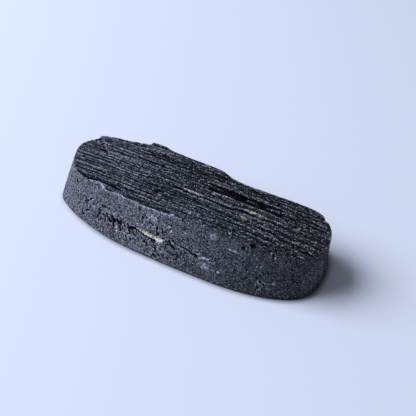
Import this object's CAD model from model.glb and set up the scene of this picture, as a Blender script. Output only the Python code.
import math

import bmesh
import bpy
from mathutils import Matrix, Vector, noise


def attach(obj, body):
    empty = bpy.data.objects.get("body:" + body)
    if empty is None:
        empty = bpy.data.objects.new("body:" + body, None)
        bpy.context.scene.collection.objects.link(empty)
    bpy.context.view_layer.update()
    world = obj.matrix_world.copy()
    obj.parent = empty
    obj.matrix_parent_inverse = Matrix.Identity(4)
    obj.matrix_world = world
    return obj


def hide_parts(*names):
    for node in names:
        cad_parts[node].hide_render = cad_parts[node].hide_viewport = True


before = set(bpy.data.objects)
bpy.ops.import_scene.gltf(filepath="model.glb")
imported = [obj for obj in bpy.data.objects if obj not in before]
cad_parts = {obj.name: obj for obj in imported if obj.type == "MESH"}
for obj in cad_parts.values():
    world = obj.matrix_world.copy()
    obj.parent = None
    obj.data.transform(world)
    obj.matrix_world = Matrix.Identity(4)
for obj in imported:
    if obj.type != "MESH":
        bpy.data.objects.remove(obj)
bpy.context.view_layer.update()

# ---- The raw crystal face -------------------------------------------------------------------
# Black tourmaline grows as a bundle of thin columns, so where it splits lengthwise the face is
# striated: long grooves, ledges where columns broke away, and short splinters between them.
# It is left as it came out of the rock, and is here the top of a block of rough stone.

# Lengths are in millimetres, with x along the stone, y towards its back and z up. MM is one in
# metres, and SEED picks the part of the noise that this stone reads.
MM = 0.001
SEED = 11

# The face's usual height and the highest that it may stand, then the block around it and the
# number of cells in the face's grid.
FACE_HEIGHT = 8.35
FACE_LIMIT = 8.94
FACE_X = (-24.0, 24.0)
FACE_Y = (-9.0, 9.0)
FACE_ROWS = 225
FACE_COLUMNS = 250
BLOCK_FLOOR = -2.0

# How the face falls away: how far, and where the fall starts and ends. The falls at the left and
# at the back set in across the face between the two numbers of their _Y pair.
FRONT_FALL = (0.55, 0.5, -6.5)
RIGHT_FALL = (0.35, 12.0, 24.0)
LEFT_FALL = (0.35, -14.0, -22.0)
LEFT_FALL_Y = (3.6, 0.6)
BACK_FALL = (0.25, 4.0, 6.5)
BACK_FALL_Y = (4.2, 6.6)

# The deep trough right of the middle: its extent, how softly its ends and sides fall, and its
# depth. Some of the lines below deepen it.
TROUGH_X = (2.6, 14.8)
TROUGH_Y = (2.0, 3.4)
TROUGH_END = 1.0
TROUGH_SIDE = 0.2
TROUGH_DEPTH = 0.16

# The broken step at the left end: a point on its edge, how far the edge runs to the right for
# each millimetre forwards, how wide and deep the drop is, where across the face it grows, and how
# ragged the edge is.
STEP_START = Vector((-19.6, 4.6))
STEP_SLANT = 1.27
STEP_WIDTH = 0.6
STEP_DROP = 0.5
STEP_GROWS_Y = (0.6, 3.6)
STEP_RAGGED = 0.5
STEP_RAGGED_STRETCH = 2.5

# The raised slab along the back: where its two ends and its front edge rise, and how far.
SLAB_LEFT_END = (-11.3, -10.7)
SLAB_RIGHT_END = (4.9, 3.1)
SLAB_EDGE_Y = (4.6, 6.3)
SLAB_RISE = 0.5

# The groove inside the front rim: x and y along it.
RIM_GROOVE = (
    (-18.6, -3.7),
    (-17.2, -4.2),
    (-15.2, -4.75),
    (-13.0, -4.5),
    (-10.0, -4.6),
    (-8.4, -4.9),
)
RIM_GROOVE_DEPTH = 0.32
RIM_GROOVE_HALF_WIDTH = 0.17
RIM_GROOVE_FADE = 1.5

# Lips left standing on the front rim: x, y, half length, half width and rise.
RIM_LIPS = (
    (-12.6, -5.2, 2.6, 0.5, 0.45),
    (-8.6, -5.5, 1.8, 0.5, 0.26),
    (-5.6, -5.75, 2.2, 0.4, 0.14),
)

# Hollows where a splinter came out: x, y, half length, half width and depth.
HOLLOWS = (
    (-17.3, 2.1, 0.9, 0.35, 0.4),
    (-9.2, 4.8, 0.7, 0.25, 0.25),
    (-7.4, 5.4, 0.5, 0.3, 0.35),
    (-4.6, 5.0, 0.5, 0.2, 0.25),
    (-7.4, 0.4, 0.8, 0.2, 0.25),
    (5.5, 1.0, 0.9, 0.35, 0.14),
    (8.7, -1.65, 0.35, 0.3, 0.3),
    (9.8, -1.75, 0.5, 0.25, 0.22),
    (10.4, -2.5, 0.5, 0.3, 0.2),
    (9.6, 5.1, 2.2, 0.5, 0.14),
    (13.8, 4.2, 0.3, 0.6, 0.2),
    (16.8, -4.7, 0.4, 0.4, 0.35),
    (18.0, 1.35, 0.5, 0.4, 0.2),
    (-3.6, -2.0, 1.2, 0.3, 0.16),
    (19.6, -0.8, 0.6, 0.3, 0.15),
)

# Grooves and ledges that stand out: y, first x, last x, half width and depth (a rise if negative).
LINES = (
    (3.34, 2.6, 14.2, 0.2, 0.45),
    (2.38, 3.2, 15.2, 0.4, 0.6),
    (2.8, 3.7, 6.8, 0.34, 0.32),
    (3.0, 5.4, 8.8, 0.32, 0.25),
    (2.62, 8.2, 14.8, 0.36, 0.6),
    (3.34, 8.4, 13.8, 0.2, 0.35),
    (3.0, 8.4, 13.6, 0.24, 0.27),
    (3.15, -11.0, -5.6, 0.2, 0.34),
    (3.2, -15.5, 2.6, 0.13, 0.14),
    (2.6, -15.4, -11.6, 0.15, 0.22),
    (1.8, 4.8, 7.4, 0.12, -0.12),
    (3.75, 3.0, 8.0, 0.1, -0.12),
    (5.35, 2.2, 4.6, 0.14, 0.2),
    (1.05, -5.0, -2.2, 0.13, 0.26),
    (-0.1, -1.9, 8.4, 0.2, 0.45),
    (0.18, -1.6, 8.0, 0.12, -0.1),
    (0.22, 9.0, 14.0, 0.2, 0.42),
    (0.3, 14.2, 17.0, 0.15, 0.3),
    (0.6, 9.6, 14.6, 0.16, -0.08),
    (-1.6, 12.8, 16.0, 0.13, 0.28),
    (-1.28, 12.6, 15.8, 0.12, -0.12),
    (-1.85, 17.8, 20.4, 0.12, 0.24),
    (-2.42, 20.6, 22.8, 0.12, 0.24),
    (-2.25, 17.0, 20.0, 0.1, 0.14),
    (-2.95, 12.0, 16.2, 0.13, 0.28),
    (-2.65, 9.0, 10.8, 0.14, 0.24),
    (-3.6, 11.6, 14.2, 0.12, 0.2),
    (-3.7, 19.0, 21.2, 0.12, 0.16),
    (-0.95, 0.4, 3.2, 0.11, 0.2),
    (-1.25, 0.2, 3.0, 0.11, 0.2),
    (-2.15, 3.4, 8.0, 0.11, 0.14),
    (-4.2, 0.0, 5.4, 0.11, 0.14),
    (-1.1, -14.6, -10.8, 0.12, 0.2),
    (-1.35, -18.4, -14.8, 0.12, 0.2),
    (-2.15, -13.4, -9.8, 0.12, 0.22),
    (-2.6, -19.0, -13.6, 0.13, 0.24),
    (-3.25, -18.8, -4.4, 0.13, 0.24),
    (-3.72, -18.4, -3.4, 0.2, -0.1),
    (-0.7, -20.4, -13.6, 0.14, -0.1),
    (-0.3, -20.8, -14.0, 0.11, 0.2),
    (-1.75, -19.6, -15.2, 0.11, 0.18),
    (0.25, -20.8, -12.5, 0.11, 0.16),
    (0.85, -17.0, -9.0, 0.12, 0.2),
    (1.4, -20.4, -15.6, 0.11, 0.16),
    (1.85, -20.0, -16.8, 0.11, 0.16),
    (2.35, -19.8, -17.4, 0.11, 0.16),
    (-2.5, -4.6, -1.0, 0.12, 0.2),
    (4.6, -13.0, 6.0, 0.12, 0.14),
    (5.6, -20.0, -12.0, 0.13, 0.14),
    (4.7, 13.0, 20.0, 0.12, 0.14),
    (3.2, 17.5, 22.0, 0.13, 0.2),
    (2.6, 16.5, 22.0, 0.12, 0.14),
    (1.8, 15.0, 21.0, 0.12, 0.12),
)

# How softly a line ends, how far from it the face feels it, how wide it is in half widths, and
# how it wanders.
LINE_END = 0.7
LINE_REACH = 1.0
LINE_SPREAD = 1.5
LINE_WANDER = 0.06
LINE_WANDER_LENGTH = 5.0
LINE_WANDER_APART = 3.7
# The share of its depth that a line keeps, how far that swells and over what length.
LINE_LEVEL = 0.85
LINE_SWELL = 0.4
LINE_SWELL_LENGTH = 1.6
LINE_SWELL_APART = 5.3

# The bundle of columns, coarse and fine: spacing, groove depth, groove half width and ledge height.
BUNDLES = ((1.3, 0.08, 0.16, 0.08), (0.46, 0.14, 0.14, 0.05))
BUNDLE_BEND = 0.25
BUNDLE_BEND_LENGTH = 16.0
# Where the bundle's relief starts and stops fading towards the right, and the share that is left.
BUNDLE_FADE = (-8.0, 0.0, 0.45)

# Edges, grooves, levels and breaks change over these lengths. Neighbours read the noise this far
# apart, so that no two are alike.
EDGE_WANDER = 0.35
EDGE_LENGTH = 26.0
EDGE_APART = 1.7
GROOVE_STRENGTH = 0.75
GROOVE_SWELL = 1.1
GROOVE_LENGTH = 6.0
GROOVE_APART = 2.3
LEVEL_SWING = 0.8
LEVEL_LENGTH = 15.0
LEVEL_APART = 1.9
BREAK_STEP = 0.5
BREAK_EDGE = (0.3, 0.36)
BREAK_LENGTH = 7.0
BREAK_APART = 4.1

# Splinters: length, width and height.
SPLINTERS = ((3.5, 0.22, 0.05), (0.5, 0.3, 0.07))


def ramp(value, start, end):
    """0 at start, 1 at end and smooth between them, whichever of the two is the larger."""
    t = min(max((value - start) / (end - start), 0.0), 1.0)
    return t * t * (3 - 2 * t)


def between(value, first, last, blend):
    """1 between first and last and 0 outside them, smooth over the blend to either side."""
    return ramp(value, first - blend, first + blend) * ramp(value, last + blend, last - blend)


def mound(x, y, place):
    """The last number of an oval place at its middle, falling smoothly to 0 at its edge."""
    cx, cy, half_length, half_width, amount = place
    away = math.hypot((x - cx) / half_length, (y - cy) / half_width)
    return amount * ramp(away, 1.0, 0.0) if away < 1 else 0.0


def route_at(route, x):
    """The other numbers of a route at x, between its two nearest places, or None past its ends."""
    for (x0, *start), (x1, *end) in zip(route, route[1:]):
        if x0 <= x < x1:
            return [low + (high - low) * (x - x0) / (x1 - x0) for low, high in zip(start, end)]
    return None


def rim_groove(x, y):
    """1 in the bottom of the groove inside the front rim, 0 away from it."""
    place = route_at(RIM_GROOVE, x)
    if place is None:
        return 0.0
    first, last = RIM_GROOVE[0][0], RIM_GROOVE[-1][0]
    fade = ramp(x, first, first + RIM_GROOVE_FADE) * ramp(x, last, last - RIM_GROOVE_FADE)
    return fade * ramp(abs(y - place[0]), 2 * RIM_GROOVE_HALF_WIDTH, 0.0)


def step_drop(x, y):
    """How far the broken step lowers the face, with its ragged edge."""
    ragged = STEP_RAGGED * noise.noise(Vector((x, y * STEP_RAGGED_STRETCH, SEED)))
    top = STEP_START.x + (STEP_START.y - y) * STEP_SLANT + ragged
    return STEP_DROP * ramp(x, top, top - STEP_WIDTH) * ramp(y, *STEP_GROWS_Y)


def face_form(x, y):
    """Height of the raw face without its striations."""
    height = FACE_HEIGHT
    height -= FRONT_FALL[0] * ramp(y, *FRONT_FALL[1:])
    height -= RIGHT_FALL[0] * ramp(x, *RIGHT_FALL[1:])
    height -= LEFT_FALL[0] * ramp(x, *LEFT_FALL[1:]) * ramp(y, *LEFT_FALL_Y)
    height -= BACK_FALL[0] * ramp(x, *BACK_FALL[1:]) * ramp(y, *BACK_FALL_Y)
    height += SLAB_RISE * ramp(x, *SLAB_LEFT_END) * ramp(x, *SLAB_RIGHT_END) * ramp(y, *SLAB_EDGE_Y)
    return height


def groove_depth(x, y):
    """How far grooves, hollows and the trough sink the face below its form, less the rim's lips."""
    depth = RIM_GROOVE_DEPTH * rim_groove(x, y)
    depth += TROUGH_DEPTH * between(x, *TROUGH_X, TROUGH_END) * between(y, *TROUGH_Y, TROUGH_SIDE)
    depth += sum(mound(x, y, hollow) for hollow in HOLLOWS)
    depth -= sum(mound(x, y, lip) for lip in RIM_LIPS)
    for number, (line, first, last, half_width, deep) in enumerate(LINES):
        if abs(y - line) > LINE_REACH or not first - LINE_END < x < last + LINE_END:
            continue
        place = Vector((x / LINE_WANDER_LENGTH, number * LINE_WANDER_APART, SEED))
        wander = LINE_WANDER * noise.noise(place)
        place = Vector((x / LINE_SWELL_LENGTH, number * LINE_SWELL_APART, SEED))
        swell = LINE_LEVEL + LINE_SWELL * noise.noise(place)
        across = ramp(abs(y - line - wander), half_width * LINE_SPREAD, 0.0)
        depth += deep * swell * across * between(x, first, last, LINE_END)
    return depth


def bundle_relief(x, y, number, spacing, groove, half_width, ledge):
    """Relief of one size of column: each stands at its own level, with a groove on either side."""
    def edge(index):
        """Where one edge between two columns runs, counted in columns."""
        place = Vector((x / EDGE_LENGTH, index * EDGE_APART, number))
        return index + EDGE_WANDER * noise.noise(place)

    place = y / spacing
    column = math.floor(place)
    if place < edge(column):
        column -= 1
    elif place >= edge(column + 1):
        column += 1
    low, high = place - edge(column), edge(column + 1) - place
    nearest = column if low < high else column + 1
    swell = noise.noise(Vector((x / GROOVE_LENGTH, nearest * GROOVE_APART, number)))
    strength = GROOVE_STRENGTH + GROOVE_SWELL * swell
    level = LEVEL_SWING * noise.noise(Vector((x / LEVEL_LENGTH, column * LEVEL_APART, number)))
    broken = noise.noise(Vector((x / BREAK_LENGTH, column * BREAK_APART, number + 0.5)))
    level -= BREAK_STEP * ramp(broken, *BREAK_EDGE)
    sunk = groove * max(0.0, strength) * ramp(min(low, high) * spacing, half_width, 0.0)
    return ledge * level - sunk


def columns_relief(x, y):
    """Relief of the whole bundle of columns, with the small splinters on it."""
    bent = y + BUNDLE_BEND * noise.noise(Vector((x, y, SEED)) / BUNDLE_BEND_LENGTH)
    first, last, kept = BUNDLE_FADE
    strength = 1 - (1 - kept) * ramp(x, first, last)
    sizes = enumerate(BUNDLES)
    relief = strength * sum(bundle_relief(x, bent, number, *bundle) for number, bundle in sizes)
    for length, width, amount in SPLINTERS:
        relief += amount * noise.noise(Vector((x / length, bent / width, length)))
    return relief


# The height of the raw face at each column and row of its grid, which the finish reads again.
face_heights = {}


def raw_block():
    """The block under the raw face, larger than the finished stone on every side."""
    bm = bmesh.new()
    bmesh.ops.create_grid(bm, x_segments=FACE_COLUMNS, y_segments=FACE_ROWS, size=1.0)
    for vert in bm.verts:
        column, row = (vert.co.x + 1) / 2, (vert.co.y + 1) / 2
        x = FACE_X[0] + (FACE_X[1] - FACE_X[0]) * column
        y = FACE_Y[0] + (FACE_Y[1] - FACE_Y[0]) * row
        height = face_form(x, y) - step_drop(x, y) - groove_depth(x, y) + columns_relief(x, y)
        height = min(height, FACE_LIMIT)
        face_heights[round(column * FACE_COLUMNS), round(row * FACE_ROWS)] = height
        vert.co = (x, y, height)
    extruded = bmesh.ops.extrude_face_region(bm, geom=bm.faces[:])["geom"]
    for vert in (item for item in extruded if isinstance(item, bmesh.types.BMVert)):
        vert.co.z = BLOCK_FLOOR
    bmesh.ops.recalc_face_normals(bm, faces=bm.faces[:])
    return bm


# ---- The ground wall ------------------------------------------------------------------------
# The sides were ground by hand to a long oval that leans in towards the top, and the foot was
# just touched on the wheel. Grinding left the wall matte and finely pitted. A crack along the
# front lets blocks break out, and a thin cream-coloured mineral seam fills part of it.

# The level at which the rim's outline below is given, how tall the blank is before the raw face
# cuts it, the bevel round its foot, and how far the wall bulges and stands back from its outline.
RIM_LEVEL = 8.0
BLANK_HEIGHT = 9.6
FOOT_BEVEL = 0.25
WALL_BULGE = 0.03
WALL_INSET = 0.02

# x and y at the foot, then x and y where the wall passes RIM_LEVEL.
WALL_STATIONS = (
    (-23.6, -1.2, -21.6, 1.0),
    (-22.6, -4.1, -20.3, -2.0),
    (-19.6, -5.85, -18.1, -4.0),
    (-15.8, -7.1, -15.2, -5.0),
    (-10.0, -8.2, -9.8, -5.6),
    (-3.0, -8.5, -3.0, -5.75),
    (5.0, -8.35, 5.0, -5.05),
    (12.0, -7.85, 12.0, -4.9),
    (17.8, -6.5, 17.4, -4.5),
    (21.9, -4.15, 21.7, -3.3),
    (23.2, -1.0, 23.5, -0.2),
    (23.0, 3.2, 22.9, 3.0),
    (21.6, 6.2, 21.1, 5.2),
    (18.9, 7.7, 18.9, 6.3),
    (12.0, 8.3, 12.0, 6.2),
    (5.8, 8.4, 5.6, 6.2),
    (1.6, 8.5, 2.2, 6.75),
    (-5.0, 8.4, -5.0, 6.9),
    (-10.0, 8.1, -9.6, 7.35),
    (-15.0, 7.4, -14.5, 6.15),
    (-19.6, 5.9, -19.0, 5.3),
    (-22.8, 3.0, -21.2, 3.1),
)

# Spacing of the wall's corners along the outline, finer in front, and of its rings. Between the
# first two heights of FINE_RINGS, the rings are its last number apart.
FRONT_SPACING = 0.13
BACK_SPACING = 0.22
RING_SPACING = 0.2
FINE_RINGS = (0.6, 6.6, 0.1)

# Cuts where the crack and the broken grain come out on the front: x and z at both ends, then half
# of the opening and the depth.
WALL_CUTS = (
    (-12.4, 3.85, -11.6, 3.92, 0.09, 0.2),
    (-12.1, 3.85, -12.0, 3.4, 0.18, 0.4),
    (-12.0, 3.4, -12.35, 2.9, 0.15, 0.4),
    (-12.35, 2.9, -12.65, 2.15, 0.13, 0.3),
    (-11.75, 3.2, -11.7, 2.3, 0.14, 0.3),
    (-10.6, 3.95, -10.5, 3.5, 0.15, 0.32),
    (-11.0, 3.6, -10.7, 3.0, 0.12, 0.25),
    (-10.25, 3.45, -9.75, 2.85, 0.19, 0.4),
    (-11.4, 3.6, -11.2, 3.3, 0.12, 0.22),
    (-10.9, 2.75, -10.6, 2.4, 0.11, 0.2),
    (-10.1, 2.5, -9.8, 2.1, 0.12, 0.22),
    (-10.5, 3.95, -10.2, 3.9, 0.12, 0.24),
    (-8.6, 3.0, -8.45, 2.6, 0.1, 0.2),
    (-6.9, 3.55, -6.6, 3.2, 0.12, 0.22),
    (-5.2, 2.9, -4.8, 2.6, 0.12, 0.22),
    (-4.5, 3.1, -4.0, 2.9, 0.11, 0.2),
    (-3.7, 2.8, -3.3, 2.5, 0.1, 0.18),
    (-1.7, 2.65, -1.3, 2.5, 0.12, 0.22),
    (-0.3, 2.2, 0.1, 1.9, 0.1, 0.18),
    (-7.2, 1.2, -6.8, 1.0, 0.1, 0.16),
    (-4.1, 1.4, -3.8, 1.1, 0.1, 0.18),
    (-9.9, 4.05, -9.4, 3.75, 0.12, 0.3),
    (-9.35, 3.8, -8.95, 3.45, 0.3, 0.45),
    (-9.15, 3.4, -9.05, 2.6, 0.19, 0.4),
    (-9.05, 2.6, -8.95, 2.0, 0.12, 0.3),
    (-8.35, 3.8, -7.9, 3.3, 0.2, 0.32),
    (-7.75, 3.75, -7.5, 3.3, 0.13, 0.28),
    (-8.0, 3.2, -7.6, 3.05, 0.13, 0.25),
    (-7.6, 3.9, -7.15, 3.75, 0.15, 0.3),
    (-7.7, 1.9, -7.4, 1.5, 0.09, 0.15),
    (-6.3, 3.9, -6.15, 3.25, 0.15, 0.36),
    (-6.0, 3.35, -5.75, 2.6, 0.14, 0.34),
    (-5.35, 3.3, -5.2, 2.75, 0.1, 0.2),
    (-4.6, 3.3, -4.55, 2.5, 0.09, 0.2),
    (-6.6, 2.45, -6.2, 2.3, 0.1, 0.2),
    (-5.6, 1.7, -5.3, 1.4, 0.1, 0.2),
    (-7.0, 2.0, -6.8, 1.6, 0.1, 0.18),
    (-6.9, 2.4, -5.8, 2.4, 0.09, 0.16),
    (-5.9, 3.4, -5.1, 3.68, 0.21, 0.5),
    (-5.1, 3.68, -4.4, 3.75, 0.22, 0.5),
    (-4.4, 3.62, -3.4, 3.38, 0.1, 0.25),
    (-3.4, 3.36, -2.2, 3.12, 0.14, 0.3),
    (-2.2, 3.12, -1.1, 2.98, 0.18, 0.32),
    (-3.0, 2.3, -2.5, 1.9, 0.18, 0.34),
    (-1.9, 2.2, -1.2, 1.9, 0.12, 0.2),
    (-0.95, 2.1, -0.8, 1.5, 0.15, 0.3),
    (-1.1, 0.8, -0.7, 0.65, 0.2, 0.35),
    (-0.92, 4.35, -0.85, 4.05, 0.19, 0.35),
    (-1.1, 5.3, -1.05, 4.8, 0.13, 0.26),
    (-0.25, 5.3, -0.1, 4.7, 0.13, 0.26),
    (-3.9, 6.05, -3.4, 5.8, 0.12, 0.2),
    (-4.7, 7.15, -4.4, 6.95, 0.16, 0.3),
    (-2.6, 5.6, -1.7, 5.3, 0.12, 0.24),
    (-3.3, 6.4, -3.0, 6.1, 0.1, 0.2),
    (0.3, 3.45, 1.0, 3.75, 0.1, 0.22),
    (1.2, 3.95, 1.4, 3.5, 0.15, 0.3),
    (1.4, 3.3, 2.3, 3.02, 0.12, 0.28),
    (2.3, 3.02, 3.1, 3.22, 0.1, 0.22),
    (1.8, 4.15, 2.2, 3.9, 0.15, 0.28),
    (2.6, 3.75, 4.4, 3.62, 0.11, 0.24),
    (4.4, 3.62, 5.3, 3.3, 0.11, 0.26),
    (5.3, 3.3, 5.6, 3.22, 0.12, 0.28),
    (5.6, 3.2, 6.1, 3.08, 0.21, 0.42),
    (8.2, 3.3, 8.9, 3.25, 0.1, 0.2),
    (2.8, 5.8, 3.2, 5.72, 0.12, 0.22),
    (-0.1, 4.7, 0.2, 4.5, 0.15, 0.22),
    (5.8, 3.85, 6.3, 3.75, 0.09, 0.16),
    (-11.6, 4.75, -10.9, 4.78, 0.16, 0.34),
    (-9.6, 4.7, -9.1, 4.75, 0.07, 0.14),
    (-17.9, 6.4, -17.6, 5.9, 0.14, 0.32),
    (-14.9, 4.1, -14.5, 4.4, 0.14, 0.32),
    (-14.3, 4.7, -13.9, 5.0, 0.12, 0.28),
    (-15.3, 4.9, -15.25, 3.6, 0.09, 0.22),
    (-13.6, 4.1, -13.3, 4.3, 0.12, 0.28),
    (-15.1, 2.35, -14.5, 2.7, 0.14, 0.32),
    (-15.95, 2.3, -15.85, 1.1, 0.12, 0.28),
    (-16.4, 1.6, -16.1, 1.2, 0.07, 0.18),
    (12.2, 4.35, 12.5, 4.2, 0.12, 0.2),
    (12.8, 4.1, 13.0, 3.7, 0.11, 0.18),
    (15.4, 4.5, 16.0, 5.3, 0.1, 0.18),
    (16.2, 2.6, 16.8, 2.3, 0.15, 0.22),
    (15.9, 1.8, 16.3, 1.5, 0.11, 0.18),
    (17.3, 7.3, 17.5, 7.0, 0.16, 0.22),
)
# How far from a cut the wall feels it, where its sides start and end in half openings, how ragged
# it is, and how wide its edges are bruised.
CUT_REACH = 0.6
CUT_SIDES = (1.5, 0.4)
CUT_RAGGED = 0.12
CUT_RAGGED_LENGTH = 0.35
CUT_BRUISE = 0.25

# Broken places: side of the wall, x, z, half length, half height, depth and turn in degrees.
FRONT, BACK = -1, 1
WALL_CHIPS = (
    (FRONT, -12.4, 3.0, 0.5, 0.8, 0.12, 15),
    (FRONT, -9.4, 3.2, 0.7, 0.6, 0.2, 40),
    (FRONT, -7.8, 3.1, 0.7, 0.7, 0.22, -25),
    (FRONT, -5.4, 3.2, 0.9, 0.4, 0.1, 8),
    (FRONT, -1.2, 2.6, 0.9, 0.4, 0.12, 0),
    (FRONT, 1.2, 3.4, 0.6, 0.4, 0.14, 30),
    (FRONT, 5.9, 3.0, 0.4, 0.3, 0.2, -15),
    (FRONT, -0.9, 0.75, 0.4, 0.25, 0.2, 20),
    (FRONT, 12.9, 6.8, 0.35, 0.3, 0.26, 0),
    (FRONT, 14.2, 7.6, 0.5, 0.45, 0.4, 10),
    (FRONT, 16.7, 7.9, 0.4, 0.35, 0.32, -20),
    (BACK, 21.3, 8.0, 0.6, 0.8, 0.22, 15),
    (BACK, -6.4, 3.1, 1.6, 1.0, 0.08, -20),
    (BACK, -3.9, 2.5, 1.0, 0.6, 0.06, 35),
    (BACK, 11.9, 4.4, 0.9, 0.6, 0.07, 50),
)
# A broken place's facets: how far from its middle they may reach, how steep they are, how blunt
# their corners are, and how far the point where they meet lies off the middle each way.
CHIP_REACH = 2.0
CHIP_STEEP = 1.6
CHIP_CORNERS = 0.75
CHIP_LEAN = (0.5, 0.4)
CHIP_APART = 7.3
CHIP_RAGGED = 0.35
CHIP_RAGGED_FINENESS = 3.3

# The cream-coloured seam: x, z and half of its thickness.
SEAM_ROUTE = (
    (-4.8, 3.88, 0.03),
    (-4.3, 3.88, 0.16),
    (-3.4, 3.76, 0.22),
    (-2.4, 3.64, 0.27),
    (-1.4, 3.56, 0.3),
    (-0.9, 3.42, 0.4),
    (-0.4, 3.38, 0.44),
    (0.0, 3.55, 0.28),
    (0.4, 3.62, 0.05),
)
# Half of the width over which the seam ends, how ragged its edge is, and how deep it lies.
SEAM_EDGE = 0.04
SEAM_RAGGED = 0.22
SEAM_RAGGED_FINENESS = 3.1
SEAM_SUNK = 0.06

# Fine pits all over the ground wall, in patches, deepest in a band along the crack. The band is
# given by its two ends and how softly it stops there. PIT_OUTSIDE is the share left outside it.
PIT_SPACING = 0.55
PIT_RADIUS = 0.45
PIT_DEPTH = 0.4
PIT_PATCH = 2.6
PIT_BAND_Z = (0.8, 3.4, 0.6)
PIT_BAND_X = (-15.0, 6.0, 2.0)
PIT_OUTSIDE = 0.25

# The small unevenness that grinding left all over the wall: its height and its length.
GRIND_RELIEF = 0.05
GRIND_LENGTH = 0.35


def seam_cover(side, x, z):
    """1 on the cream seam, 0 off it, with a ragged edge."""
    place = route_at(SEAM_ROUTE, x) if side == FRONT else None
    if place is None:
        return 0.0
    middle, half_width = place
    rough = noise.noise(Vector((x * SEAM_RAGGED_FINENESS, z * SEAM_RAGGED_FINENESS, SEED)))
    away = abs(z - middle) + SEAM_RAGGED * rough
    return ramp(away, half_width + SEAM_EDGE, half_width - SEAM_EDGE)


def cuts_at(side, x, z):
    """How deep the cuts are at one place on the wall, and how far their edges are bruised there."""
    sunk = bruised = 0.0
    if side != FRONT:
        return sunk, bruised
    place = Vector((x, z, SEED)) / CUT_RAGGED_LENGTH
    x += CUT_RAGGED * noise.noise(place)
    z += CUT_RAGGED * noise.noise(place + place.zxy)
    for x0, z0, x1, z1, half_width, depth in WALL_CUTS:
        if not min(x0, x1) - CUT_REACH < x < max(x0, x1) + CUT_REACH:
            continue
        if not min(z0, z1) - CUT_REACH < z < max(z0, z1) + CUT_REACH:
            continue
        length = math.hypot(x1 - x0, z1 - z0)
        along = min(max(((x - x0) * (x1 - x0) + (z - z0) * (z1 - z0)) / length**2, 0.0), 1.0)
        away = math.hypot(x - x0 - along * (x1 - x0), z - z0 - along * (z1 - z0))
        outer, inner = (half_width * share for share in CUT_SIDES)
        sunk = max(sunk, depth * ramp(away, outer, inner))
        bruised = max(bruised, ramp(away, half_width + CUT_BRUISE, half_width))
    return sunk, bruised


def chip_sunk(number, side, x, z):
    """Depth of one broken place: flat facets that meet at a point off its middle."""
    chip_side, cx, cz, half_length, half_height, depth, turn = WALL_CHIPS[number]
    if side != chip_side or abs(x - cx) > CHIP_REACH or abs(z - cz) > CHIP_REACH:
        return 0.0
    angle = math.radians(turn)
    u = ((x - cx) * math.cos(angle) + (z - cz) * math.sin(angle)) / half_length
    v = ((z - cz) * math.cos(angle) - (x - cx) * math.sin(angle)) / half_height
    lean = noise.noise(Vector((number * CHIP_APART, SEED, 0.5)))
    u, v = u + CHIP_LEAN[0] * lean * (1 - v * v), v - CHIP_LEAN[1] * lean
    rough = noise.noise(Vector((x * CHIP_RAGGED_FINENESS, z * CHIP_RAGGED_FINENESS, number)))
    out = max(abs(u), abs(v), CHIP_CORNERS * (abs(u) + abs(v))) + CHIP_RAGGED * rough
    return depth * min(1.0, max(0.0, CHIP_STEEP * (1 - out)))


def pit_sunk(x, y, z):
    """Depth of the fine pits that grinding opened."""
    near = noise.voronoi(Vector((x, y, z)) / PIT_SPACING)[0][0]
    patch = max(0.0, 0.5 + noise.noise(Vector((x, y, z)) / PIT_PATCH))
    band = between(z, *PIT_BAND_Z) * between(x, *PIT_BAND_X) if y < 0 else 0.0
    band = PIT_OUTSIDE + (1 - PIT_OUTSIDE) * band
    return PIT_DEPTH * ramp(near, PIT_RADIUS, 0.0) * patch * band


def wall_sunk(point):
    """How deep the wall lies below its ground surface at one point, in all."""
    side = FRONT if point.y < 0 else BACK
    sunk = cuts_at(side, point.x, point.z)[0]
    for number in range(len(WALL_CHIPS)):
        sunk = max(sunk, chip_sunk(number, side, point.x, point.z))
    sunk += pit_sunk(*point)
    return sunk + (SEAM_SUNK - sunk) * seam_cover(side, point.x, point.z)


def closed_spline(points):
    """Points along the closed smooth curve through the given ones, with finer steps in front.

    The steps are counted along the foot, so that foot and rim have the same number of them."""
    curve = []
    count = len(points)
    for i in range(count):
        before, start, end, after = (Vector(points[(i + k) % count]) for k in (-1, 0, 1, 2))
        foot_start, foot_end = (Vector(WALL_STATIONS[(i + k) % count][:2]) for k in (0, 1))
        spacing = FRONT_SPACING if start.y < 0 else BACK_SPACING
        steps = math.ceil((foot_end - foot_start).length / spacing)
        for number in range(steps):
            t = number / steps
            bend = (before * 2 - start * 5 + end * 4 - after) * t * t
            twist = (start * 3 - before - end * 3 + after) * t * t * t
            curve.append(start + ((end - before) * t + bend + twist) / 2)
    return curve


FOOT_LINE = closed_spline([station[:2] for station in WALL_STATIONS])
RIM_LINE = closed_spline([station[2:] for station in WALL_STATIONS])


def wall_ring(height):
    """One ring of the finished wall: the ground outline with pits, crack and chips sunk into it."""
    t = height / RIM_LEVEL
    lean = t - 4 * t * (1 - t) * WALL_BULGE
    outline = [low.lerp(high, lean) for low, high in zip(FOOT_LINE, RIM_LINE)]
    ring = []
    for number, here in enumerate(outline):
        along = (outline[(number + 1) % len(outline)] - outline[number - 1]).normalized()
        point = here.to_3d() + Vector((0.0, 0.0, height))
        grind = GRIND_RELIEF * noise.noise(point / GRIND_LENGTH)
        inward = Vector((-along.y, along.x, 0.0))
        sunk = WALL_INSET + GRIND_RELIEF / 2 + grind + wall_sunk(point)
        ring.append(point + inward * sunk)
    return ring


def ring_heights():
    """The heights of the wall's rings, close together where the crack runs."""
    heights = [FOOT_BEVEL]
    low, high, fine = FINE_RINGS
    while heights[-1] < BLANK_HEIGHT:
        heights.append(heights[-1] + (fine if low < heights[-1] < high else RING_SPACING))
    return heights


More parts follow.
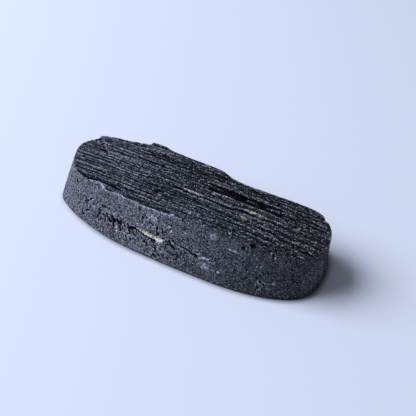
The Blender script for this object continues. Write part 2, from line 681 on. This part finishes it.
def ground_blank():
    """The oval blank that grinding leaves, taller than the stone, lofted ring by ring."""
    foot = [Vector((point.x, point.y, 0.0)) for point in wall_ring(0.0)]
    rings = [[point - point.normalized() * FOOT_BEVEL for point in foot]]
    rings += [wall_ring(height) for height in ring_heights()]
    bm = bmesh.new()
    place = bm.verts.layers.int.new("place")
    corners = [bm.verts.new(corner) for corner in rings[0]]
    for index, vert in enumerate(corners):
        vert[place] = index
    edges = bm.faces.new(corners).edges[:]
    for ring in rings[1:]:
        made = bmesh.ops.extrude_edge_only(bm, edges=edges)["geom"]
        edges = [item for item in made if isinstance(item, bmesh.types.BMEdge)]
        for vert in (item for item in made if isinstance(item, bmesh.types.BMVert)):
            vert.co = ring[vert[place]]
    bmesh.ops.contextual_create(bm, geom=edges)
    bmesh.ops.recalc_face_normals(bm, faces=bm.faces[:])
    return bm


# ---- The finished stone ---------------------------------------------------------------------
# The stone is one piece: the rough block with its raw face, cut all round by the ground wall.
# Its two finishes are raw rock on top and ground rock on the wall and underside.
RAW, GROUND = 0, 1
FINISH_NAMES = ("raw_schorl", "ground_schorl")


def add_object(name, bm, finish):
    """Makes the object in metres, with one of the two finishes on all its faces."""
    mesh = bpy.data.meshes.new(name)
    bmesh.ops.scale(bm, vec=(MM, MM, MM), verts=bm.verts[:])
    for face in bm.faces:
        face.material_index = finish
    bm.to_mesh(mesh)
    bm.free()
    obj = bpy.data.objects.new(name, mesh)
    bpy.context.collection.objects.link(obj)
    for finish_name in FINISH_NAMES:
        made = bpy.data.materials.get(finish_name)
        mesh.materials.append(made or bpy.data.materials.new(finish_name))
    return obj


crystal = add_object("schorl_crystal", ground_blank(), GROUND)
rough = add_object("rough_block", raw_block(), RAW)
cut = crystal.modifiers.new("ground_all_round", "BOOLEAN")
cut.operation = "INTERSECT"
cut.solver = "MANIFOLD"
cut.object = rough
finished = crystal.evaluated_get(bpy.context.evaluated_depsgraph_get())
cut_mesh = bpy.data.meshes.new_from_object(finished)
crystal.modifiers.clear()
crystal.data = cut_mesh
bpy.data.objects.remove(rough, do_unlink=True)

# Masks that the finishes read: how deep a point lies in a break or groove, and the minerals on it.
# On the raw face the depth is taken both beside its close neighbours and in its larger grooves,
# above the level of an even face. Each scale is the depth in millimetres that counts as 1.
DEPTH_SCALE = 0.24
RAW_LEVEL = 0.3
RAW_BESIDE = (-0.45, -0.3, -0.15, 0.15, 0.3, 0.45)
RAW_BESIDE_SCALE = 0.22
RAW_GROOVE_SCALE = 0.45

# Minerals on the raw face: x, y, half length, half width and strength.
CREAM_STREAK = (
    (10.1, 0.64, 0.8, 0.22, 0.4),
    (11.2, 0.62, 1.4, 0.3, 0.6),
    (12.5, 0.6, 1.3, 0.34, 0.9),
    (14.1, 0.55, 0.4, 0.14, 0.3),
)
# How much of the face the cream streak covers: the dark stone shows through.
STREAK_COVER = 0.42
RUST_SPOTS = (
    (10.65, -1.05, 0.55, 0.45, 1.0),
    (18.4, 0.95, 0.3, 0.6, 1.0),
)
# Wide areas of the raw face that are a little lighter, or darker if negative.
TONE_AREAS = (
    (3.5, -3.8, 8.5, 2.6, 0.16),
    (-3.0, -3.9, 6.0, 1.2, 0.1),
    (10.5, 3.8, 8.0, 2.4, -0.2),
)
# Pale crusts on the raw face.
PALE_CRUSTS = (
    (1.1, 0.18, 3.0, 0.1, 1.2),
    (5.8, 0.2, 2.4, 0.1, 0.7),
    (8.5, 6.05, 5.0, 0.3, 0.3),
    (5.6, 3.78, 2.6, 0.1, 0.6),
    (6.1, 1.85, 1.3, 0.12, 0.6),
    (2.8, -3.8, 0.9, 0.25, 0.4),
    (10.1, -4.5, 0.35, 0.2, 0.9),
    (0.8, -5.3, 0.7, 0.2, 0.5),
    (5.8, -5.2, 0.7, 0.3, 0.5),
    (-7.6, 0.0, 0.5, 0.16, 0.7),
    (-3.2, -2.7, 0.6, 0.25, 0.4),
    (4.0, 1.4, 0.35, 0.25, 0.5),
    (10.2, -0.85, 0.4, 0.3, 0.5),
    (6.3, 4.4, 0.3, 0.3, 0.5),
)
# Pale flakes on the wall: x, z, half length, half height and strength.
PALE_FLAKES = (
    (-2.3, 6.55, 0.9, 0.38, 1.7),
    (-1.75, 6.4, 0.6, 0.42, 1.6),
    (-4.6, 4.7, 0.3, 0.22, 0.6),
    (-8.4, 2.7, 0.4, 0.35, 0.8),
    (-8.3, 2.0, 0.22, 0.5, 0.5),
    (1.3, 5.4, 0.4, 0.18, 1.5),
    (3.5, 5.85, 0.32, 0.22, 1.3),
    (0.9, 6.0, 0.35, 0.16, 0.4),
    (6.6, 3.2, 0.7, 0.2, 1.6),
    (7.5, 3.34, 0.8, 0.2, 1.6),
    (7.6, 2.2, 1.2, 0.8, 0.3),
    (8.0, 6.9, 1.0, 0.6, 0.3),
    (11.4, 6.0, 1.5, 0.15, 0.5),
    (9.9, 2.1, 0.3, 0.25, 0.7),
    (18.2, 2.7, 0.35, 0.25, 0.6),
    (17.5, 1.75, 0.35, 0.22, 0.6),
    (8.7, 3.3, 0.16, 0.16, 1.0),
    (23.4, 4.0, 3.0, 6.0, 0.05),
)
# How pale the bruised edges of the cuts are, and how deep in a cut that ends.
BRUISE_PALE = 0.3
BRUISE_DEPTH = 0.06

# Where the front rim was knocked and is worn pale: x and strength, then how far down the wall the
# wear reaches, and the level above which it is looked for.
RIM_WEAR = (
    (-15.2, 0.0),
    (-14.4, 0.6),
    (-11.2, 0.5),
    (-10.4, 0.25),
    (-9.0, 0.5),
    (-3.0, 0.42),
    (1.0, 0.25),
    (3.0, 0.0),
)
RIM_WEAR_WIDTH = 0.35
RIM_WEAR_LEVEL = 7.0

# How a mineral breaks up into grains: how strong it is made, its usual cover, how far that
# swings, and the size of the grains.
SPECKLE_STRENGTH = 1.5
SPECKLE_COVER = 1.3
SPECKLE_SWING = 2.6
SPECKLE_SIZE = 0.3


def rim_wear(x, y):
    """How pale the front rim is at x."""
    wear = route_at(RIM_WEAR, x) if y < 0 else None
    return wear[0] if wear else 0.0


def speckled(amount, x, y, z):
    """Breaks a mask up into grains."""
    swing = SPECKLE_SWING * noise.noise(Vector((x, y, z)) / SPECKLE_SIZE)
    return min(1.0, max(0.0, amount * SPECKLE_STRENGTH * (SPECKLE_COVER + swing)))


def face_height(x, y):
    """Height of the raw face at x and y, read between the rows of its grid."""
    column = round((x - FACE_X[0]) / (FACE_X[1] - FACE_X[0]) * FACE_COLUMNS)
    row = (y - FACE_Y[0]) / (FACE_Y[1] - FACE_Y[0]) * FACE_ROWS
    low, high = (face_heights[column, math.floor(row) + step] for step in (0, 1))
    return low + (high - low) * (row % 1)


def raw_depth(x, y, z):
    """How deep a point of the raw face lies, with the wide lighter and darker areas."""
    beside = sum(face_height(x, y + away) for away in RAW_BESIDE) / len(RAW_BESIDE)
    lighter = sum(mound(x, y, place) for place in TONE_AREAS)
    groove = max(0.0, groove_depth(x, y))
    return RAW_LEVEL - lighter + (beside - z) / RAW_BESIDE_SCALE + groove / RAW_GROOVE_SCALE


def masks_at(point, finishes):
    """The masks at one point of the surface, each from 0 to 1: depth, cream, rust and pale.

    A point of both finishes lies on the rim."""
    x, y, z = point / MM
    if RAW in finishes:
        depth = raw_depth(x, y, z)
        cream = sum(mound(x, y, spot) for spot in CREAM_STREAK)
        rust = sum(mound(x, y, spot) for spot in RUST_SPOTS)
        pale = sum(mound(x, y, crust) for crust in PALE_CRUSTS)
        if GROUND in finishes:
            depth = 0.0
            pale += rim_wear(x, y)
    else:
        side = FRONT if y < 0 else BACK
        depth = wall_sunk(Vector((x, y, z))) / DEPTH_SCALE
        cream = seam_cover(side, x, z)
        rust = 0.0
        sunk, bruised = cuts_at(side, x, z)
        pale = sum(mound(x, z, spot) for spot in PALE_FLAKES) if side == FRONT else 0.0
        pale += BRUISE_PALE * bruised * ramp(sunk, BRUISE_DEPTH, 0.0)
        if z > RIM_WEAR_LEVEL:
            pale += rim_wear(x, y) * ramp(face_height(x, y) - z, RIM_WEAR_WIDTH, 0.0)
    cream, rust, pale = (speckled(amount, x, y, z) for amount in (cream, rust, pale))
    if RAW in finishes:
        cream *= STREAK_COVER
    return min(1.0, max(0.0, depth)), cream, rust, pale


def paint_masks(mesh):
    """Writes the four masks to the mesh, as attributes of its points."""
    finishes = [set() for vert in mesh.vertices]
    for face in mesh.polygons:
        for index in face.vertices:
            finishes[index].add(face.material_index)
    values = [masks_at(vert.co, finishes[vert.index]) for vert in mesh.vertices]
    for number, name in enumerate(("depth", "cream", "rust", "pale")):
        layer = mesh.attributes.new(name, "FLOAT", "POINT")
        layer.data.foreach_set("value", [value[number] for value in values])


# Bands of the flat layout: the raw face, the wall and the underside, each from low to high. Face
# and underside reach so far to either side of the layout's middle. The wall's strip has a start
# and a length, and is as tall as WALL_HEIGHT.
RAW_BAND = (0.62, 0.99)
WALL_BAND = (0.38, 0.6)
UNDERSIDE_BAND = (0.01, 0.36)
LAYOUT_HALF_LENGTH = 0.48
WALL_START = 0.01
WALL_LENGTH = 0.96
WALL_HEIGHT = 9.2


def lay_out_surface(mesh):
    """The stone's surface laid flat: raw face on top, the wall as a strip, the underside below."""
    layer = mesh.uv_layers.new(name="OFBake")
    half_length, half_width = FACE_X[1] * MM, FACE_Y[1] * MM
    for face in mesh.polygons:
        corners = [mesh.vertices[index].co for index in face.vertices]
        places = [(co.x / half_length, co.y / half_width) for co in corners]
        flat = [(0.5 + LAYOUT_HALF_LENGTH * x, 0.5 + 0.5 * y) for x, y in places]
        if face.material_index == RAW:
            low, high = RAW_BAND
        elif face.normal.z < -0.5 and face.center.z < FOOT_BEVEL * MM:
            low, high = UNDERSIDE_BAND
        else:
            low, high = WALL_BAND
            turns = [math.atan2(y, x) / math.tau + 0.5 for x, y in places]
            if max(turns) - min(turns) > 0.5:
                turns = [turn + 1 if turn < 0.5 else turn for turn in turns]
            heights = [co.z / (WALL_HEIGHT * MM) for co in corners]
            flat = [(WALL_START + WALL_LENGTH * turn, up) for turn, up in zip(turns, heights)]
        for loop, (u, v) in zip(face.loop_indices, flat):
            layer.data[loop].uv = (u, low + (high - low) * v)


paint_masks(crystal.data)
lay_out_surface(crystal.data)


def add_node(tree, kind, inputs=(), **settings):
    """Adds one shader node. Inputs are (socket, value or output) pairs."""
    made = tree.nodes.new("ShaderNode" + kind)
    for name, value in settings.items():
        setattr(made, name, value)
    for name, value in inputs:
        if isinstance(value, bpy.types.NodeSocket):
            tree.links.new(value, made.inputs[name])
        else:
            made.inputs[name].default_value = value
    return made


def remapped(tree, value, start, end, low=0.0, high=1.0, change="LINEAR"):
    """A value stretched so that start becomes low and end becomes high, and held past them."""
    ends = (("From Min", start), ("From Max", end), ("To Min", low), ("To Max", high))
    inputs = (("Value", value), *ends)
    return add_node(tree, "MapRange", inputs, interpolation_type=change).outputs[0]


def in_millimetres(tree, stretch):
    """Object coordinates in millimetres, divided by how far the pattern stretches each way."""
    place = add_node(tree, "TexCoord").outputs["Object"]
    scale = tuple(1 / (MM * length) for length in stretch)
    return add_node(tree, "Mapping", (("Vector", place), ("Scale", scale))).outputs["Vector"]


def grain(tree, stretch, detail, low, high):
    """Noise whose grains have the given size in millimetres, stretched to 0..1 from low to high."""
    place = in_millimetres(tree, stretch)
    rough = add_node(tree, "TexNoise", (("Vector", place), ("Scale", 1.0), ("Detail", detail)))
    return remapped(tree, rough.outputs[0], low, high)


def mask(tree, name):
    """One of the masks painted on the stone."""
    made = add_node(tree, "Attribute", attribute_name=name, attribute_type="GEOMETRY")
    return made.outputs["Fac"]


def maths(tree, operation, first, second):
    """One sum on two numbers or outputs."""
    made = add_node(tree, "Math", ((0, first), (1, second)), operation=operation)
    return made.outputs[0]


def weighted(tree, parts):
    """The sum of outputs, each times its weight."""
    total = 0.0
    for output, weight in parts:
        total = maths(tree, "ADD", maths(tree, "MULTIPLY", output, weight), total)
    return total


def ramp_colour(tree, factor, stops):
    """A colour for each factor, blended between stops of (position, colour)."""
    made = add_node(tree, "ValToRGB", (("Fac", factor),))
    elements = made.color_ramp.elements
    elements[0].position, elements[1].position = stops[0][0], stops[-1][0]
    elements[0].color, elements[1].color = (*stops[0][1], 1.0), (*stops[-1][1], 1.0)
    for position, colour in stops[1:-1]:
        elements.new(position).color = (*colour, 1.0)
    return made.outputs["Color"]


def over(tree, colour, cover, factor):
    """A second colour laid over the first where the factor says."""
    made = add_node(tree, "Mix", data_type="RGBA")
    for socket, value in ((0, factor), (6, colour), (7, cover)):
        if isinstance(value, bpy.types.NodeSocket):
            tree.links.new(value, made.inputs[socket])
        else:
            made.inputs[socket].default_value = value
    return made.outputs[2]


# Angular grains: how scattered they are, how far from its middle a grain is dark and then bright,
# how rare the bright ones are, and how bright the dullest and the brightest are.
GRAIN_SCATTER = 0.85
GRAIN_GAP = 0.5
GRAIN_MIDDLE = 0.1
GRAIN_RARITY = 3.0
GRAIN_BRIGHTNESS = (0.22, 1.5)


def facets(tree, stretch):
    """Angular grains of the given size in millimetres: a random colour on each, and how bright.

    Each grain is bright in its middle and dark in the gap to the next, some more than others."""
    place = in_millimetres(tree, stretch)
    inputs = (("Vector", place), ("Scale", 1.0), ("Randomness", GRAIN_SCATTER))
    cells = add_node(tree, "TexVoronoi", inputs)
    middle = remapped(tree, cells.outputs["Distance"], GRAIN_GAP, GRAIN_MIDDLE)
    red = add_node(tree, "SeparateColor", ((0, cells.outputs["Color"]),)).outputs[0]
    rare = maths(tree, "POWER", red, GRAIN_RARITY)
    brightness = remapped(tree, rare, 0.0, 1.0, *GRAIN_BRIGHTNESS)
    return cells.outputs["Color"], maths(tree, "MULTIPLY", middle, brightness)


# Fine pits in the grain: how far from its middle a pit starts and is full, and how gradually the
# grains that have one are chosen.
FINE_PIT_EDGE = 0.55
FINE_PIT_FULL = 0.25
FINE_PIT_CHOICE = 0.1


def pits(tree, stretch, share):
    """Small angular pits of the given size in millimetres, on a share of the grains: 1 in a pit."""
    place = in_millimetres(tree, stretch)
    inputs = (("Vector", place), ("Scale", 1.0), ("Randomness", 1.0))
    cells = add_node(tree, "TexVoronoi", inputs, distance="MANHATTAN")
    inside = remapped(tree, cells.outputs["Distance"], FINE_PIT_EDGE, FINE_PIT_FULL)
    green = add_node(tree, "SeparateColor", ((0, cells.outputs["Color"]),)).outputs[1]
    chosen = remapped(tree, green, 1 - share, 1 + FINE_PIT_CHOICE - share)
    return maths(tree, "MULTIPLY", inside, chosen)


def leaned(tree, leans):
    """The surface's own normal, leaned a different way on each grain."""
    def vector_maths(operation, *inputs):
        """One sum on vectors."""
        return add_node(tree, "VectorMath", inputs, operation=operation).outputs[0]

    normal = add_node(tree, "NewGeometry").outputs["Normal"]
    for colours, amount in leans:
        off = vector_maths("SUBTRACT", (0, colours), (1, (0.5, 0.5, 0.5)))
        off = vector_maths("SCALE", (0, off), ("Scale", amount))
        normal = vector_maths("ADD", (0, off), (1, normal))
    return vector_maths("NORMALIZE", (0, normal))


def along_stone(tree, first, last, start, end, change="SMOOTHSTEP"):
    """A number that goes from start at the first x to end at the last, in millimetres."""
    places = add_node(tree, "SeparateXYZ", ((0, in_millimetres(tree, (1.0, 1.0, 1.0))),))
    return remapped(tree, places.outputs["X"], first, last, start, end, change)


# The dark of deep breaks and the depth at which it starts and is full, then the minerals. The
# cream one is blended from two colours by the noise that CLOTS gives. The stone has a weak sheen.
BREAK_COLOUR = (0.004, 0.004, 0.005, 1.0)
BREAK_DEPTH = (0.45, 0.85)
PALE_COLOUR = (0.52, 0.53, 0.64, 1.0)
RUST_COLOUR = (0.31, 0.175, 0.1, 1.0)
CREAM_COLOURS = ((0.7, 0.56, 0.36, 1.0), (0.97, 0.92, 0.84, 1.0))
CLOTS = ((0.5, 0.3, 0.3), 1.0, 0.38, 0.5)
SHEEN = 0.12


def schorl_finish(name, grains, cells, pitting, changes, stops, roughness, bump):
    """A finish of black tourmaline: grains of several sizes, dark breaks, and its minerals."""
    material = bpy.data.materials[name]
    material.use_nodes = True
    tree = material.node_tree
    shader = tree.nodes["Principled BSDF"]
    noises = [(grain(tree, *size), weight) for *size, weight in grains]
    angular = [(*facets(tree, stretch), weight, lean) for stretch, weight, lean in cells]
    sharp = [(brightness, weight) for colours, brightness, weight, lean in angular]
    sharp += [(pits(tree, stretch, share), -weight) for stretch, share, weight in pitting]
    strength = along_stone(tree, *changes["angular"])
    parts = [(maths(tree, "MULTIPLY", weighted(tree, sharp), strength), 1.0)]
    shaded = maths(tree, "MULTIPLY", mask(tree, "depth"), along_stone(tree, *changes["depth"]))
    parts += [(shaded, -1.0), (along_stone(tree, *changes["level"]), 1.0)]
    fibres = maths(tree, "MULTIPLY", noises[0][0], along_stone(tree, *changes["fibres"]))
    lightness = weighted(tree, [(fibres, noises[0][1]), *noises[1:], *parts])
    colour = ramp_colour(tree, lightness, stops)
    deep = remapped(tree, mask(tree, "depth"), *BREAK_DEPTH)
    colour = over(tree, colour, BREAK_COLOUR, deep)
    colour = over(tree, colour, PALE_COLOUR, mask(tree, "pale"))
    colour = over(tree, colour, RUST_COLOUR, mask(tree, "rust"))
    mineral = over(tree, *CREAM_COLOURS, grain(tree, *CLOTS))
    colour = over(tree, colour, mineral, mask(tree, "cream"))
    tree.links.new(colour, shader.inputs["Base Color"])
    rough = remapped(tree, sharp[0][0], 0.0, 1.0, *roughness)
    rough = maths(tree, "MAXIMUM", rough, deep)
    tree.links.new(rough, shader.inputs["Roughness"])
    shader.inputs["Specular IOR Level"].default_value = SHEEN
    relief = weighted(tree, noises[:2])
    normal = leaned(tree, [(colours, lean) for colours, brightness, weight, lean in angular])
    bumps = (("Height", relief), ("Distance", bump * MM), ("Strength", 1.0), ("Normal", normal))
    tree.links.new(add_node(tree, "Bump", bumps).outputs["Normal"], shader.inputs["Normal"])


# What each finish is made of. The stretches of grains, cells and pits are in millimetres along x,
# y and z. Each of the changes runs along the stone: first and last x, then the value at each. It
# scales the first grains, the angular ones or the depth, or sets the level of the lightness. The
# roughness is that of the dull and of the bright grains, and the bump is in millimetres.
schorl_finish(
    "raw_schorl",
    # Stretch, detail, low and high end, and weight.
    grains=(
        ((9.0, 0.36, 0.4), 0.0, 0.42, 0.58, 0.3),
        ((2.4, 0.5, 0.5), 1.0, 0.4, 0.6, 0.05),
        ((6.0, 1.6, 2.0), 2.0, 0.35, 0.65, 0.06),
    ),
    # Stretch, weight and lean.
    cells=(
        ((0.34, 0.27, 0.3), 1.1, 1.6),
        ((0.22, 0.18, 0.2), 0.9, 1.0),
    ),
    # Stretch, share of the grains and weight.
    pitting=(((0.7, 0.42, 0.45), 0.25, 0.25),),
    changes={
        "fibres": (-9.0, 0.0, 0.7, 0.35),
        "angular": (-18.0, -4.0, 0.5, 0.95),
        "depth": (-18.0, -2.0, 0.55, 1.0),
        "level": (-19.0, -5.0, 0.48, 0.36),
    },
    stops=(
        (0.0, (0.002, 0.002, 0.0026)),
        (0.25, (0.012, 0.0122, 0.0157)),
        (0.5, (0.06, 0.062, 0.0795)),
        (0.75, (0.19, 0.194, 0.244)),
        (1.0, (0.5, 0.508, 0.58)),
    ),
    roughness=(0.68, 0.36),
    bump=0.16,
)
schorl_finish(
    "ground_schorl",
    grains=(
        ((0.36, 0.3, 0.3), 0.0, 0.42, 0.58, 0.12),
        ((1.0, 0.8, 0.8), 3.0, 0.36, 0.64, 0.05),
        ((2.5, 2.0, 2.0), 2.0, 0.35, 0.65, 0.05),
    ),
    cells=(
        ((0.22, 0.2, 0.2), 1.5, 1.6),
        ((0.33, 0.3, 0.3), 0.4, 0.8),
    ),
    pitting=(
        ((0.5, 0.44, 0.42), 0.5, 0.75),
        ((0.3, 0.26, 0.26), 0.5, 1.0),
    ),
    changes={
        "fibres": (0.0, 20.0, 1.0, 0.8),
        "angular": (-4.0, 20.0, 1.0, 0.6),
        # The same all along.
        "depth": (0.0, 1.0, 0.9, 0.9),
        "level": (-7.0, 19.0, 0.455, 0.2),
    },
    stops=(
        (0.0, (0.003, 0.003, 0.0038)),
        (0.25, (0.03, 0.0303, 0.0371)),
        (0.5, (0.085, 0.086, 0.1055)),
        (0.75, (0.19, 0.192, 0.232)),
        (1.0, (0.44, 0.444, 0.515)),
    ),
    roughness=(0.8, 0.5),
    bump=0.05,
)

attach(crystal, "root")
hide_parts("tourmaline_crystal")

# ---- The table, the light and the camera ----------------------------------------------------
# The stone lies on a plain pale surface in soft cool daylight from the left. A soft contact
# shadow darkens the surface close to the stone, most on the side away from the light.

# The contact shadow's reach in millimetres, then its strength along the stone: first and last x
# and the strength at each.
CONTACT_REACH = 1.0
CONTACT_SHADE = (-20.0, -8.0, 0.45, 2.3)
TABLE_SIZE = 4.0
TABLE_COLOUR = (0.79, 0.8, 0.9, 1.0)
SHADOW_COLOUR = (0.0, 0.0, 0.0, 1.0)
TABLE_ROUGHNESS = 0.7
bpy.ops.mesh.primitive_plane_add(size=TABLE_SIZE)
table = bpy.context.object
table.name = "table"
pale = bpy.data.materials.new("pale_table")
pale.use_nodes = True
top = pale.node_tree.nodes["Principled BSDF"]
top.inputs["Roughness"].default_value = TABLE_ROUGHNESS
reach = (("Distance", CONTACT_REACH * MM),)
open_sky = add_node(pale.node_tree, "AmbientOcclusion", reach, samples=32).outputs["AO"]
strength = along_stone(pale.node_tree, *CONTACT_SHADE, change="LINEAR")
lit = maths(pale.node_tree, "POWER", open_sky, strength)
tint = over(pale.node_tree, SHADOW_COLOUR, TABLE_COLOUR, lit)
pale.node_tree.links.new(tint, top.inputs["Base Color"])
table.data.materials.append(pale)

# A large soft window on the left, seen from the stone at this azimuth and elevation, and the
# weak light of the room. Sizes and distances are in metres.
DAYLIGHT = (0.8, 0.87, 1.0)
WINDOW_SIZE = 0.55
WINDOW_POWER = 8.2
WINDOW_AZIMUTH = math.radians(196.0)
WINDOW_ELEVATION = math.radians(45.0)
WINDOW_DISTANCE = 0.75
ROOM_STRENGTH = 0.18
lamp = bpy.data.lights.new("window", "AREA")
lamp.size = WINDOW_SIZE
lamp.energy = WINDOW_POWER
lamp.color = DAYLIGHT
window = bpy.data.objects.new("window", lamp)
away_x = math.cos(WINDOW_AZIMUTH) * math.cos(WINDOW_ELEVATION)
away_y = math.sin(WINDOW_AZIMUTH) * math.cos(WINDOW_ELEVATION)
away = Vector((away_x, away_y, math.sin(WINDOW_ELEVATION)))
window.location = away * WINDOW_DISTANCE
window.rotation_euler = away.to_track_quat("Z", "Y").to_euler()
bpy.context.collection.objects.link(window)
world = bpy.data.worlds.new("room")
world.use_nodes = True
room = world.node_tree.nodes["Background"]
room.inputs["Color"].default_value = (*DAYLIGHT, 1.0)
room.inputs["Strength"].default_value = ROOM_STRENGTH
bpy.context.scene.world = world
bpy.context.scene.view_settings.view_transform = "Standard"

# The camera stands in front of the stone and to its right, and looks down on it. Its place is in
# metres.
CAMERA_PLACE = (0.04336, -0.06665, 0.07618)
CAMERA_TILT = math.radians(48.0)
CAMERA_TURN = math.radians(30.63)
camera_data = bpy.data.cameras.new("camera")
camera_data.lens = 58.85
camera_data.sensor_width = 36.0
camera_data.clip_start = 0.005
camera = bpy.data.objects.new("camera", camera_data)
camera.location = CAMERA_PLACE
camera.rotation_euler = (CAMERA_TILT, 0.0, CAMERA_TURN)
bpy.context.collection.objects.link(camera)
bpy.context.scene.camera = camera
